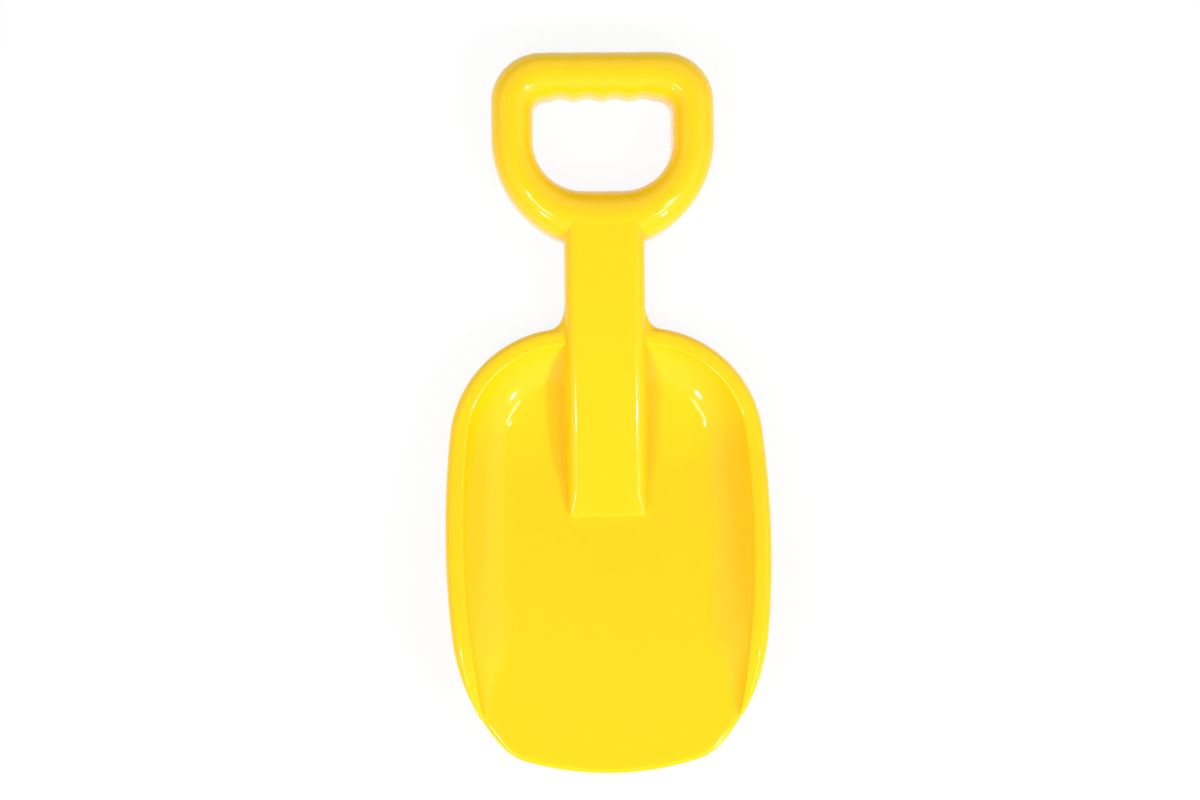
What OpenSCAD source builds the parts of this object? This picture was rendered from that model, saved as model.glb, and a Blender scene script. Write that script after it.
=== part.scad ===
// Sand shovel: a dished pan with a rolled rim, a hollow shaft that runs into it and a ring grip.
// X is the width, +Y points from the pan to the grip and +Z up. It lies on its back, on Z = 0.

/* [Overall] */
// Length from the tip of the pan to the top of the grip
overall_length = 329.5; // [310:0.5:370]
// Lean of the shaft's and the grip's walls, in degrees
draft = 1.5; // [0.5:0.1:3]
// Wall of the shaft and the grip
handle_wall = 3; // [2:0.1:4]

/* [Pan] */
// Length of the pan, from its tip to its back edge
pan_length = 201.2; // [185:0.2:215]
// Greatest width of the pan
pan_width = 149.4; // [135:0.2:165]
// Distance from the tip to the widest place
widest_from_tip = 109.1; // [98:0.1:120]
// Wall of the pan and its rim
pan_wall = 2.5; // [1.8:0.1:3.2]
// Radius of the two back corners, seen from above
back_corner_radius = 55; // [45:0.5:62]
// Radius of the long sides, seen from above
side_radius = 419; // [360:1:480]
// Radius where a side turns in towards the front, seen from above
front_side_radius = 90; // [80:0.5:100]
// Radius of the two front corners, seen from above
front_corner_radius = 26.5; // [22:0.5:30]
// Radius of the front edge, seen from above
tip_radius = 139; // [120:1:160]
// Turn of a side where its front radius starts, in degrees
front_side_start = 6.5; // [4:0.1:9]
// Depth of the pan at its back edge
back_depth = 10.5; // [8:0.1:13]
// Greatest depth of the pan
pan_depth = 14; // [12:0.1:18]
// Distance from the back edge to the deepest place
deepest_from_back = 53.5; // [40:0.5:70]
// Width of the curved wall between rim and floor
wall_run = 20; // [14:0.1:23]
// Place of the bow in the pan's wall, as a share of its run
wall_bow_share = 0.55; // [0.4:0.01:0.7]
// Length of the flat belly, from the back edge
belly_length = 38.5; // [34:0.5:46]
// Radius of the bend from the belly to the rising floor
floor_bend_radius = 120; // [90:1:160]
// Rise of the floor towards the tip, in degrees
floor_rise = 14; // [8:0.5:18]

/* [Rim and lip] */
// Width of the rolled rim
rim_width = 9; // [7.5:0.1:11]
// Height of the rim's outer skirt
rim_skirt = 6; // [5:0.1:8]
// Rounding of the rim's outer edge
rim_outer_fillet = 4; // [3:0.1:4.5]
// Rounding of the rim's inner edge
rim_inner_fillet = 2; // [1:0.1:2.5]
// Length over which the rim runs out towards the front
rim_taper_length = 34; // [25:0.5:50]
// Length of the thin front lip, from the tip to the ends of the rim
lip_length = 23.2; // [18:0.1:27]
// Width of the rounding along the front lip
lip_run = 3; // [2:0.1:5]
// Drop of the rounding along the front lip
lip_drop = 0.8; // [0.3:0.1:1.5]

/* [Shaft] */
// Width of the shaft at its foot
shaft_width = 37.8; // [34:0.1:42]
// Height of the shaft's top where it meets the grip
shaft_height = 19.7; // [18.5:0.1:20]
// Fall of the shaft's top towards the pan, in degrees
shaft_fall = 2.8; // [2:0.1:3.4]
// Rounding of the shaft's top edges
shaft_fillet = 5.5; // [4:0.1:6.5]
// Rounding of the top edge at the shaft's end in the pan
shaft_end_fillet = 1.2; // [0.8:0.1:1.5]
// Radius of the two corners at the shaft's end, seen from above
shaft_end_radius = 3.6; // [2:0.1:5]
// Distance from the tip to the shaft's end in the pan
shaft_end_from_tip = 113.8; // [105:0.2:122]
// Length along the rim of the flare between rim and shaft
flare_along_rim = 8; // [5:0.1:11]
// Length along the shaft of the flare between rim and shaft
flare_along_shaft = 14; // [8:0.1:18]

/* [Grip] */
// Width of the grip
grip_width = 104; // [94:0.2:116]
// Length of the grip ring, from its top to its underside at the shaft
grip_length = 91.6; // [84:0.2:100]
// Height of the grip
grip_height = 20; // [20:0.1:24]
// Radius of the grip's two top corners
grip_corner_radius = 23.5; // [18:0.1:28]
// Rounding of the grip's upper edges, as a share of its width at each place
grip_fillet_share = 0.48; // [0.4:0.01:0.49]
// Width of the grip's two arms
arm_width = 19.7; // [17:0.1:23]
// Width of the bar that the fingers close round
bar_width = 21.7; // [18:0.1:25]
// Width of the yoke below the opening
yoke_width = 27.4; // [24:0.1:31]
// Radius of the opening's two lower corners
opening_lower_radius = 22.6; // [18:0.1:26]
// Radius of the opening's two upper corners
opening_upper_radius = 6.5; // [5:0.1:9]
// Number of finger recesses
finger_count = 4; // [3:1:5]
// Distance between finger recesses
finger_pitch = 12.9; // [9:0.1:12.9]
// Depth of the finger recesses
finger_depth = 1.2; // [0.5:0.1:2]

/* [Ribs] */
// Thickness of the cross ribs in the hollow underside
rib_thickness = 2; // [1.5:0.1:3]
// Distance of the ribs above the foot of the walls
rib_setback = 2; // [1:0.1:4]
// Number of cross ribs in the shaft
shaft_rib_count = 4; // [2:1:6]

/* [Hidden] */
// Overrun of every cut, and of the flare into the rim
overrun = 1;
// Smallest radius inside a rounded hollow
least_radius = 0.5;
// Rounding of the corner under the rim, where the pan's wall starts
rim_hollow_radius = 1;
// Size of the rim where it ends, as a share of its full size
rim_end_share = 0.14;
// Lean of the rim's underside that keeps its thickness where the wall runs out
underside_lean = 1;
// Greatest share of the rim's width that its wall, and the rounding inside it, take where the rim runs out
rim_wall_share = 1 / 3;
rim_hollow_share = 1 / 4;
// Steps in a rounded edge, in the pan's curved wall, in the floor's bend, in the flare and across a finger
// recess
fillet_steps = 4;
wall_steps = 6;
bend_steps = 6;
flare_steps = 6;
finger_steps = 6;
// Steps in the back corner, the two stretches of the side, the two of its front, the front corner and
// the tip
outline_steps = [10, 3, 3, 6, 2, 6, 4];
// Steps in the lower half of the ring, and in each of its top corners
yoke_steps = 12;
corner_steps = 6;
// Places of the grip's ribs, as shares of the way round the yoke's half and of the way round its top corner
yoke_rib_share = 7 / 12;
corner_rib_share = 1 / 2;

// Lengthwise places
top_y = overall_length / 2;
tip_y = -overall_length / 2;
back_y = tip_y + pan_length;
widest_y = tip_y + widest_from_tip;
deepest_y = back_y - deepest_from_back;
rim_end_y = tip_y + lip_length;
bend_y = back_y - belly_length;
bend_end_y = bend_y - floor_bend_radius * sin(floor_rise);
shaft_end_y = tip_y + shaft_end_from_tip;
ring_foot_y = top_y - grip_length;
opening_foot_y = ring_foot_y + yoke_width;
opening_top_y = top_y - bar_width;
shaft_start_y = ring_foot_y + yoke_width / 2;

// Top and underside of the floor, and the shaft's top, at a place along the length
function bend_rise(y) = floor_bend_radius - sqrt(pow(floor_bend_radius, 2) - pow(bend_y - y, 2));
function floor_z(y) = pan_wall + (
    y >= bend_y ? 0
    : y >= bend_end_y ? bend_rise(y)
    : bend_rise(bend_end_y) + (bend_end_y - y) * tan(floor_rise)
);
function foot_z(y) = floor_z(y) - pan_wall;
function end_round(y) =
    let (into = max(shaft_end_y + shaft_end_fillet - y, 0))
    shaft_end_fillet - sqrt(max(pow(shaft_end_fillet, 2) - pow(into, 2), 0));
function shaft_top_z(y) = shaft_height - (shaft_start_y - y) * tan(shaft_fall) - end_round(y);

// Half the width of the shaft's foot, drawn in at the corners of its end, and its side at a height
function end_corner_y(k) = shaft_end_y + shaft_end_radius * (1 - sin(90 * k / fillet_steps));
function end_draw(y) =
    let (into = max(shaft_end_y + shaft_end_radius - y, 0))
    shaft_end_radius - sqrt(max(pow(shaft_end_radius, 2) - pow(into, 2), 0));
function shaft_half(y) = shaft_width / 2 - end_draw(y);
function shaft_side_x(y, z) = shaft_half(y) - z * tan(draft);
// Rounding of the shaft's top edges, which runs out where the shaft sinks into the floor
function shaft_rounding(y) = min(shaft_fillet, shaft_top_z(y) - floor_z(y));

// Depth below the rim, and how much of the rim is left, at a place along the length
function depth_at(y) =
    y >= deepest_y
        ? back_depth + (pan_depth - back_depth) * sin(90 * min((back_y - y) / deepest_from_back, 1))
        : pan_depth * sqrt(max(0, 1 - pow((deepest_y - y) / (deepest_y - rim_end_y), 2)));
function rim_share(y) = max(rim_end_share, sin(90 * min(max((y - rim_end_y) / rim_taper_length, 0), 1)));

// Pan outline, seen from above: five arcs that run into each other. The side and its front are in two
// stretches, so that a station lies where the shaft's end corner starts and another at the rim's end.
function direction(a) = [cos(a), sin(a)];
side_centre = [pan_width / 2 - side_radius, widest_y];
back_turn = asin((back_y - back_corner_radius - widest_y) / (side_radius - back_corner_radius));
back_centre = side_centre + (side_radius - back_corner_radius) * direction(back_turn);
front_centre = side_centre + (side_radius - front_side_radius) * direction(-front_side_start);
tip_centre = [0, tip_y + tip_radius];
// The front corner's centre lies where circles round the front side's centre and the tip's centre cross
front_reach = front_side_radius - front_corner_radius;
tip_reach = tip_radius - front_corner_radius;
centre_gap = norm(tip_centre - front_centre);
centre_line = (tip_centre - front_centre) / centre_gap;
reach_along = (pow(front_reach, 2) - pow(tip_reach, 2) + pow(centre_gap, 2)) / (2 * centre_gap);
reach_across = sqrt(pow(front_reach, 2) - pow(reach_along, 2));
corner_centre = front_centre + reach_along * centre_line + reach_across * [centre_line[1], -centre_line[0]];
front_turn = atan2(corner_centre[1] - front_centre[1], corner_centre[0] - front_centre[0]);
corner_turn = atan2(corner_centre[1] - tip_centre[1], corner_centre[0] - tip_centre[0]);
rim_end_turn = asin((rim_end_y - front_centre[1]) / front_side_radius);
shaft_end_turn = asin((end_corner_y(0) - side_centre[1]) / (side_radius - rim_width - wall_run));
shaft_turn = acos((shaft_width / 2 - back_centre[0]) / back_corner_radius);

outline_arcs = [
    [back_centre, back_corner_radius, shaft_turn, back_turn],
    [side_centre, side_radius, back_turn, shaft_end_turn],
    [side_centre, side_radius, shaft_end_turn, -front_side_start],
    [front_centre, front_side_radius, -front_side_start, rim_end_turn],
    [front_centre, front_side_radius, rim_end_turn, front_turn],
    [corner_centre, front_corner_radius, front_turn, corner_turn],
    [tip_centre, tip_radius, corner_turn, -90],
];
function arc_station(arc, k, steps) =
    let (turn = arc[2] + (arc[3] - arc[2]) * k / steps)
    [arc[0] + arc[1] * direction(turn), -direction(turn)];
function total(list, count) = count == 0 ? 0 : list[count - 1] + total(list, count - 1);
// Stations from the shaft round to the tip, each a point of the outline and the direction inwards
stations = concat(
    [for (n = [0 : len(outline_arcs) - 1], k = [0 : outline_steps[n] - 1])
        arc_station(outline_arcs[n], k, outline_steps[n])],
    [[[0, tip_y], [0, 1]]]
);
tip_station = len(stations) - 1;
shaft_end_station = total(outline_steps, 2);
rim_end_station = total(outline_steps, 4);

// Sizes of the section at a station: share of the rim, its width, its height above the wall's start, and the
// run and the drop of the wall
function share_at(i) = i > rim_end_station ? 0 : rim_share(stations[i][0][1]);
function rim_width_at(i) = rim_width * share_at(i);
function rim_lift_at(i) = (max(rim_inner_fillet, pan_wall) + rim_hollow_radius) * share_at(i);
function run_at(i) = lip_run + (wall_run - lip_run) * share_at(i);
function drop_at(i) =
    let (depth = i > rim_end_station ? 0 : depth_at(stations[i][0][1]))
    max(depth - rim_lift_at(i), 0) - lip_drop * (1 - share_at(i));

// Point of the pan at a station, `inward` from the outline and `lift` above the floor. The first station
// lies against the shaft's side.
function placed(i, inward, lift) =
    let (
        plan = stations[i][0] + inward * stations[i][1],
        z = floor_z(plan[1]) + lift
    )
    [i == 0 ? shaft_side_x(plan[1], z) : plan[0], plan[1], z];

// Points down the wall at a station, from the rim at t = 0 to the floor at t = 1: a slope that bows into the
// floor, and its underside
function bow_at(i) = wall_bow_share * share_at(i);
function wall_underside(i, t) =
    let (way = [drop_at(i) * (1 - t), run_at(i) * (bow_at(i) * (1 - 2 * t) + t) + underside_lean])
    -pan_wall * way / norm(way);
function wall_point(i, j, under) =
    let (
        t = j / wall_steps,
        shift = under == 0 ? [0, 0] : j == wall_steps ? [0, -pan_wall] : wall_underside(i, t)
    )
    placed(
        i,
        rim_width_at(i) + run_at(i) * t * (2 * (1 - t) * bow_at(i) + t) + shift[0],
        drop_at(i) * pow(1 - t, 2) + shift[1]
    );

// Section of the rim at a station, from the wall's start over the crown to the skirt and back inside
function rim_loop(i) =
    let (
        share = share_at(i),
        width = rim_width_at(i),
        lift = rim_lift_at(i),
        crown = drop_at(i) + lift,
        wall = min(pan_wall, width * rim_wall_share),
        outer = min(rim_outer_fillet * share, width / 2),
        inner = min(rim_inner_fillet * share, lift),
        foot = crown - max(rim_skirt * share, pan_wall / 2),
        under = crown - pan_wall * share,
        hollow = min(rim_hollow_radius * share, width * rim_hollow_share),
        start = wall_underside(i, 0)
    )
    concat(
        [placed(i, width, drop_at(i))],
        [for (k = [0 : fillet_steps]) let (turn = 90 * k / fillet_steps)
            placed(i, width - inner + inner * cos(turn), crown - inner + inner * sin(turn))],
        [for (k = [0 : fillet_steps]) let (turn = 90 + 90 * k / fillet_steps)
            placed(i, outer + outer * cos(turn), crown - outer + outer * sin(turn))],
        [placed(i, 0, foot)],
        [placed(i, wall, foot)],
        [for (k = [fillet_steps : -1 : 0]) let (turn = 90 + 90 * k / fillet_steps)
            placed(
                i,
                outer + (outer - wall) * cos(turn),
                crown - outer + (outer - crown + under) * sin(turn)
            )],
        [for (k = [fillet_steps : -1 : 0]) let (turn = 90 * k / fillet_steps)
            placed(i, width - wall - hollow + hollow * cos(turn), under - hollow + hollow * sin(turn))],
        [placed(i, width + start[0], drop_at(i) + start[1])]
    );

// Two triangles for a four-cornered cell
function cell(a, b, c, d) = [[a, b, d], [b, c, d]];

// Cells between neighbours in a row of loops with as many points each
function skin_sides(loops) =
    let (m = len(loops[0]))
    [for (i = [0 : len(loops) - 2], k = [0 : m - 1])
        each cell(i * m + k, i * m + (k + 1) % m, (i + 1) * m + (k + 1) % m, (i + 1) * m + k)];

// Skin over a row of loops, with a ladder of cells at both ends
module skin(loops) {
    m = len(loops[0]);
    last = (len(loops) - 1) * m;
    start = [for (k = [0 : m / 2 - 2]) each cell(k, m - 1 - k, m - 2 - k, k + 1)];
    end = [for (k = [0 : m / 2 - 2])
        each cell(last + k + 1, last + m - 2 - k, last + m - 1 - k, last + k)];
    polyhedron([for (loop = loops) each loop], concat(skin_sides(loops), start, end));
}

// Skin over a row of loops, with a fan of triangles round the last point of both end loops
module fanned_skin(loops) {
    m = len(loops[0]);
    last = (len(loops) - 1) * m;
    start = [for (k = [0 : m - 3]) [k, m - 1, k + 1]];
    end = [for (k = [0 : m - 3]) [last + k + 1, last + m - 1, last + k]];
    polyhedron([for (loop = loops) each loop], concat(skin_sides(loops), start, end));
}

// Loop of the flare between rim and shaft at a height, where the rim's outer rounding has come to `turn`:
// a curve from the rim to the shaft's side, closed inside the rim
function flare_loop(turn, z) =
    let (
        radius = back_corner_radius - rim_outer_fillet * (1 - cos(turn)),
        share = pow(cos(turn), 2),
        meet = acos((shaft_side_x(back_y, z) - back_centre[0]) / radius),
        corner = back_centre + radius * direction(meet),
        start = back_centre + radius * direction(meet - flare_along_rim * share / radius * 180 / PI),
        end = corner + [0, flare_along_shaft * share],
        plan = concat(
            [start - [0, overrun]],
            [for (k = [0 : flare_steps]) let (t = k / flare_steps)
                pow(1 - t, 2) * start + 2 * t * (1 - t) * corner + t * t * end],
            [corner - [0, overrun]]
        )
    )
    [for (p = plan) [p[0], p[1], z]];
crown_z = floor_z(back_y) + back_depth;
flare_loops = concat(
    [for (k = [fillet_steps - 1 : -1 : 0]) let (turn = 90 * k / fillet_steps)
        flare_loop(turn, crown_z - rim_outer_fillet * (1 - sin(turn)))],
    [flare_loop(0, crown_z - rim_skirt)]
);

function reversed(list) = [for (k = [len(list) - 1 : -1 : 0]) list[k]];

// Arch over the line between plan points a and b, from `foot` up to `top`, `inset` inside the outer skin
function arch(a, b, foot, top, fillet, inset = 0) =
    let (
        span = norm(b - a),
        way = (b - a) / span,
        lean = tan(draft),
        radius = max(min(fillet, top - foot) - inset, least_radius),
        shoulder = top - inset - radius,
        near = inset + shoulder * lean + radius,
        profile = concat(
            [[inset + foot * lean, foot]],
            [for (k = [0 : fillet_steps])
                [near, shoulder] + radius * direction(180 - 90 * k / fillet_steps)],
            [for (k = [0 : fillet_steps])
                [span - near, shoulder] + radius * direction(90 - 90 * k / fillet_steps)],
            [[span - inset - foot * lean, foot]]
        )
    )
    [for (p = profile) [a[0] + way[0] * p[0], a[1] + way[1] * p[0], p[1]]];

// Half of the ring from the middle of the yoke to the middle of the bar, as pairs of an outer and an inner
// plan point
ring_radius = grip_width / 2;
opening_half = ring_radius - arm_width;
opening_flat = opening_half - opening_lower_radius;
ring_centre_y = ring_foot_y + ring_radius;
outer_flat = ring_radius - grip_corner_radius;
inner_flat = opening_half - opening_upper_radius;
function opening_foot(t) =
    let (
        radius = opening_lower_radius,
        quarter = radius * PI / 2,
        s = t * (opening_flat + quarter),
        turn = 90 * (s - opening_flat) / quarter
    )
    s <= opening_flat
        ? [s, opening_foot_y]
        : [opening_flat, opening_foot_y + radius] + radius * direction(turn - 90);
function yoke_pair(t) = [[0, ring_centre_y] + ring_radius * direction(90 * t - 90), opening_foot(t)];
function corner_pair(t) = [
    [outer_flat, top_y - grip_corner_radius] + grip_corner_radius * direction(90 * t),
    [inner_flat, opening_top_y - opening_upper_radius] + opening_upper_radius * direction(90 * t),
];
function finger_recess(x) =
    let (
        row = finger_count * finger_pitch / 2,
        wave = sin(180 * (x + row) / finger_pitch)
    )
    abs(x) >= min(row, inner_flat) ? 0 : finger_depth * pow(wave, 2);
function bar_pair(t) = [
    [outer_flat * t, top_y],
    [inner_flat * t, opening_top_y + finger_recess(inner_flat * t)],
];
function flipped(pair) = [[-pair[0][0], pair[0][1]], [-pair[1][0], pair[1][1]]];

// Arch and hollow section of the ring at a pair of plan points
function ring_arch(pair, foot, inset) =
    arch(pair[0], pair[1], foot, grip_height, grip_fillet_share * norm(pair[1] - pair[0]), inset);
function ring_loop(pair) = concat(ring_arch(pair, 0, 0), reversed(ring_arch(pair, 0, handle_wall)));

half_yoke_pairs = concat(
    [for (k = [1 : yoke_steps]) yoke_pair(k / yoke_steps)],
    [for (k = [0 : corner_steps]) corner_pair(k / corner_steps)]
);
yoke_pairs = concat(
    [for (pair = reversed(half_yoke_pairs)) flipped(pair)],
    [yoke_pair(0)],
    half_yoke_pairs
);
bar_steps = finger_count * finger_steps;
bar_pairs = [for (k = [0 : bar_steps]) bar_pair(1 - 2 * k / bar_steps)];
// The stretch of the yoke that the shaft runs up to
socket_pairs = [for (k = [-yoke_steps / 2 : yoke_steps / 2])
    k < 0 ? flipped(yoke_pair(-k / yoke_steps)) : yoke_pair(k / yoke_steps)];

// Section of the shaft at a place along the length
function shaft_arch(y, foot, inset) =
    arch([-shaft_half(y), y], [shaft_half(y), y], foot, shaft_top_z(y), shaft_rounding(y), inset);
floor_bend_places = [for (k = [0 : bend_steps]) bend_y + (bend_end_y - bend_y) * k / bend_steps];
end_corner_places = [for (k = [0 : fillet_steps]) end_corner_y(k)];
shaft_places = concat([shaft_start_y], floor_bend_places, end_corner_places);
hollow_places = concat([shaft_start_y], floor_bend_places, [shaft_end_y + handle_wall]);
rib_spacing = (ring_foot_y - shaft_end_y) / (shaft_rib_count + 1);

// Number of a point of the pan: side 0 is the right and 1 the left, layer 0 the top and 1 the underside.
// Both sides share the points at the tip. The slot's points follow the others: one beside each station, and
// then those round the shaft's end corner.
row_size = wall_steps + 1;
layer_size = (tip_station + 1) * row_size;
slot_size = shaft_end_station + 1 + fillet_steps;
function wall_index(side, layer, i, j) =
    ((i == tip_station ? 0 : side) * 2 + layer) * layer_size + i * row_size + j;
function slot_index(side, layer, i) =
    i == 0
        ? wall_index(side, layer, 0, wall_steps)
        : 4 * layer_size + (side * 2 + layer) * slot_size + i;
function mirrored(p, side) = side == 0 ? p : [-p[0], p[1], p[2]];
function slot_point(i, layer) =
    let (
        y = i <= shaft_end_station
            ? wall_point(i, wall_steps, layer)[1]
            : end_corner_y(i - shaft_end_station),
        z = floor_z(y) - layer * pan_wall
    )
    [shaft_side_x(y, z), y, z];
// A cell turned over where it faces the other way
function turned(a, b, c, d, over) = over ? [[a, d, b], [b, d, c]] : cell(a, b, c, d);

// Dished floor and walls, open where the shaft passes
module pan() {
    points = concat(
        [for (side = [0, 1], layer = [0, 1], i = [0 : tip_station], j = [0 : wall_steps])
            mirrored(wall_point(i, j, layer), side)],
        [for (side = [0, 1], layer = [0, 1], i = [0 : slot_size - 1]) mirrored(slot_point(i, layer), side)]
    );
    walls = [for (side = [0, 1], layer = [0, 1], i = [0 : tip_station - 1], j = [0 : wall_steps - 1])
        each turned(
            wall_index(side, layer, i, j), wall_index(side, layer, i + 1, j),
            wall_index(side, layer, i + 1, j + 1), wall_index(side, layer, i, j + 1), side != layer)];
    edges = [for (side = [0, 1], i = [0 : tip_station - 1])
        each turned(
            wall_index(side, 1, i, 0), wall_index(side, 1, i + 1, 0),
            wall_index(side, 0, i + 1, 0), wall_index(side, 0, i, 0), side == 1)];
    shaft_sides = [for (side = [0, 1], j = [0 : wall_steps - 1])
        each turned(
            wall_index(side, 0, 0, j), wall_index(side, 0, 0, j + 1),
            wall_index(side, 1, 0, j + 1), wall_index(side, 1, 0, j), side == 1)];
    floor_start = [for (side = [0, 1], layer = [0, 1])
        let (
            a = wall_index(side, layer, 0, wall_steps),
            b = wall_index(side, layer, 1, wall_steps),
            c = slot_index(side, layer, 1)
        )
        side != layer ? [a, c, b] : [a, b, c]];
    floor_sides = [for (side = [0, 1], layer = [0, 1], i = [1 : shaft_end_station - 1])
        each turned(
            wall_index(side, layer, i, wall_steps), wall_index(side, layer, i + 1, wall_steps),
            slot_index(side, layer, i + 1), slot_index(side, layer, i), side != layer)];
    slot_sides = [for (side = [0, 1], i = [0 : slot_size - 2])
        each turned(
            slot_index(side, 0, i), slot_index(side, 0, i + 1),
            slot_index(side, 1, i + 1), slot_index(side, 1, i), side == 1)];
    e = shaft_end_station;
    n = slot_size - 1;
    slot_end = cell(slot_index(0, 0, n), slot_index(1, 0, n), slot_index(1, 1, n), slot_index(0, 1, n));
    floor_corners = [for (side = [0, 1], layer = [0, 1])
        let (
            front = wall_index(side, layer, e + 1, wall_steps),
            row = concat(
                [wall_index(side, layer, e, wall_steps)],
                [for (i = [e : n]) slot_index(side, layer, i)]
            )
        )
        each [for (k = [0 : len(row) - 2])
            side == layer ? [front, row[k + 1], row[k]] : [front, row[k], row[k + 1]]]];
    floor_end = [for (layer = [0, 1])
        each turned(
            wall_index(0, layer, e + 1, wall_steps), wall_index(1, layer, e + 1, wall_steps),
            slot_index(1, layer, n), slot_index(0, layer, n), layer == 1)];
    floor_front = [for (layer = [0, 1], i = [e + 1 : tip_station - 2])
        each turned(
            wall_index(0, layer, i, wall_steps), wall_index(0, layer, i + 1, wall_steps),
            wall_index(1, layer, i + 1, wall_steps), wall_index(1, layer, i, wall_steps), layer == 1)];
    floor_tip = [for (layer = [0, 1])
        let (
            a = wall_index(0, layer, tip_station - 1, wall_steps),
            b = wall_index(0, layer, tip_station, wall_steps),
            c = wall_index(1, layer, tip_station - 1, wall_steps)
        )
        layer == 1 ? [a, c, b] : [a, b, c]];
    color("gold")
        polyhedron(points, concat(walls, edges, shaft_sides, floor_start, floor_sides, slot_sides, slot_end,
            floor_corners, floor_end, floor_front, floor_tip));
}

// Rolled rim on the right, from the shaft to the front lip, with the flare at the shaft
module right_rim() {
    color("gold") {
        skin([for (i = [0 : rim_end_station]) rim_loop(i)]);
        fanned_skin(flare_loops);
    }
}

// Rolled rim on the left
module left_rim() {
    mirror([1, 0, 0]) right_rim();
}

// Hollow shaft from the grip's yoke down into the pan
module shaft() {
    color("gold") difference() {
        skin([for (y = shaft_places) shaft_arch(y, foot_z(y), 0)]);
        skin([for (y = hollow_places) shaft_arch(y, foot_z(y) - overrun, handle_wall)]);
        skin([for (pair = socket_pairs) ring_arch(pair, -overrun, 0)]);
    }
}

// Arms and yoke of the grip
module grip_yoke() {
    color("gold") skin([for (pair = yoke_pairs) ring_loop(pair)]);
}

// Bar of the grip, scalloped for the fingers
module finger_bar() {
    color("gold") skin([for (pair = bar_pairs) ring_loop(pair)]);
}

// Cross ribs in the shaft's hollow
module shaft_ribs() {
    color("gold") for (k = [1 : shaft_rib_count])
        let (y = shaft_end_y + k * rib_spacing)
        skin([for (face_y = [y + rib_thickness / 2, y - rib_thickness / 2])
            shaft_arch(face_y, foot_z(face_y) + rib_setback, handle_wall)]);
}

// One rib across the ring's hollow at a pair of plan points
module ring_rib(pair) {
    way = (pair[1] - pair[0]) / norm(pair[1] - pair[0]);
    half = [-way[1], way[0]] * rib_thickness / 2;
    skin([for (shift = [-half, half])
        ring_arch([pair[0] + shift, pair[1] + shift], rib_setback, handle_wall)]);
}

// Cross ribs in the grip's hollow
module grip_ribs() {
    color("gold") for (pair = [yoke_pair(yoke_rib_share), corner_pair(corner_rib_share)]) {
        ring_rib(pair);
        ring_rib(flipped(pair));
    }
}

pan();
left_rim();
right_rim();
shaft();
grip_yoke();
finger_bar();
shaft_ribs();
grip_ribs();
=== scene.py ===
"""Sand shovel: the looks of one moulded toy shovel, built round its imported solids.

X is the width, +Y points from the scoop to the grip and +Z up. Sizes are in millimetres until a mesh is made.
"""
import logging
import math
from dataclasses import dataclass, field
from enum import Enum

import bpy
import numpy as np
from mathutils import Matrix, Vector


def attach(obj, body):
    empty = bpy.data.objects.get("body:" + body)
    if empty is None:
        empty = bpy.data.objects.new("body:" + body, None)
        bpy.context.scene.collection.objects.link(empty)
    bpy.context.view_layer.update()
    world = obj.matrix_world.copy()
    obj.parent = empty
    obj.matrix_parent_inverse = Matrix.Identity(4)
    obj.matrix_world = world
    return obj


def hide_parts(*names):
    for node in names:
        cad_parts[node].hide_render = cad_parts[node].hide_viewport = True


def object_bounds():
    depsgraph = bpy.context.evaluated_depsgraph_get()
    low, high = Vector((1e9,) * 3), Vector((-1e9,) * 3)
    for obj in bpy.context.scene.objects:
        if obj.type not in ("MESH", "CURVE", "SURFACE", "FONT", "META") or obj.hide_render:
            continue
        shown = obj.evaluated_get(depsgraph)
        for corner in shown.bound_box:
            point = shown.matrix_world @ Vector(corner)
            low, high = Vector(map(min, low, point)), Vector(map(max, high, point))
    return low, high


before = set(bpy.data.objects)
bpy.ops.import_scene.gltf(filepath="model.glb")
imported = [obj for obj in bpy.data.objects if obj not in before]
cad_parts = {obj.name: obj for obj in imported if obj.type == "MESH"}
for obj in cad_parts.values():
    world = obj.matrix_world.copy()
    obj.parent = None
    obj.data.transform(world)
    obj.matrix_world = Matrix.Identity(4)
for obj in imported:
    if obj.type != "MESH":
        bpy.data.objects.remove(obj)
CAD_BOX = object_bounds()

LOG = logging.getLogger("sand_shovel")
MM = 0.001
MERGE_GAP = 0.002 * MM
MIRROR_GAP = 5 * MERGE_GAP
SMOOTH_ANGLE = math.radians(38)
WHITE = (1.0, 1.0, 1.0, 1.0)
Colour = tuple[float, float, float, float]
Point = tuple[float, float]
Profile = list[Point]
PlanPair = tuple[np.ndarray, np.ndarray]


class Body(Enum):
    """Bodies that a piece can ride on."""

    ROOT = "root"


class Slot(Enum):
    """Material slots of the record."""

    YELLOW = "yellow_plastic"


class Easing(Enum):
    """Ways in which a level changes from one value to another."""

    LINEAR = "LINEAR"
    SMOOTH = "SMOOTHSTEP"


class Joining(Enum):
    """Ways to make one value of two."""

    GREATER = "MAXIMUM"
    PRODUCT = "MULTIPLY"


def arc_profile(centre: Point, radius: Point, turns: tuple[float, float], steps: int) -> Profile:
    """Sample an arc of an ellipse.

    Args:
        centre: Centre of the arc.
        radius: Half axes of the ellipse.
        turns: First and last angle in degrees.
        steps: Number of chords.

    Returns:
        The points of the arc, both ends included.
    """
    angles = np.radians(np.linspace(turns[0], turns[1], steps + 1))
    return [(centre[0] + radius[0] * math.cos(a), centre[1] + radius[1] * math.sin(a)) for a in angles]


def line_profile(start: Point, end: Point, steps: int) -> Profile:
    """Sample the inner points of a straight stretch.

    Args:
        start: Point before the stretch.
        end: Point after the stretch.
        steps: Number of chords.

    Returns:
        The points between the ends, without the ends.
    """
    shares = np.linspace(0, 1, steps + 1)[1:-1]
    return [(start[0] + (end[0] - start[0]) * t, start[1] + (end[1] - start[1]) * t) for t in shares]


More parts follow.
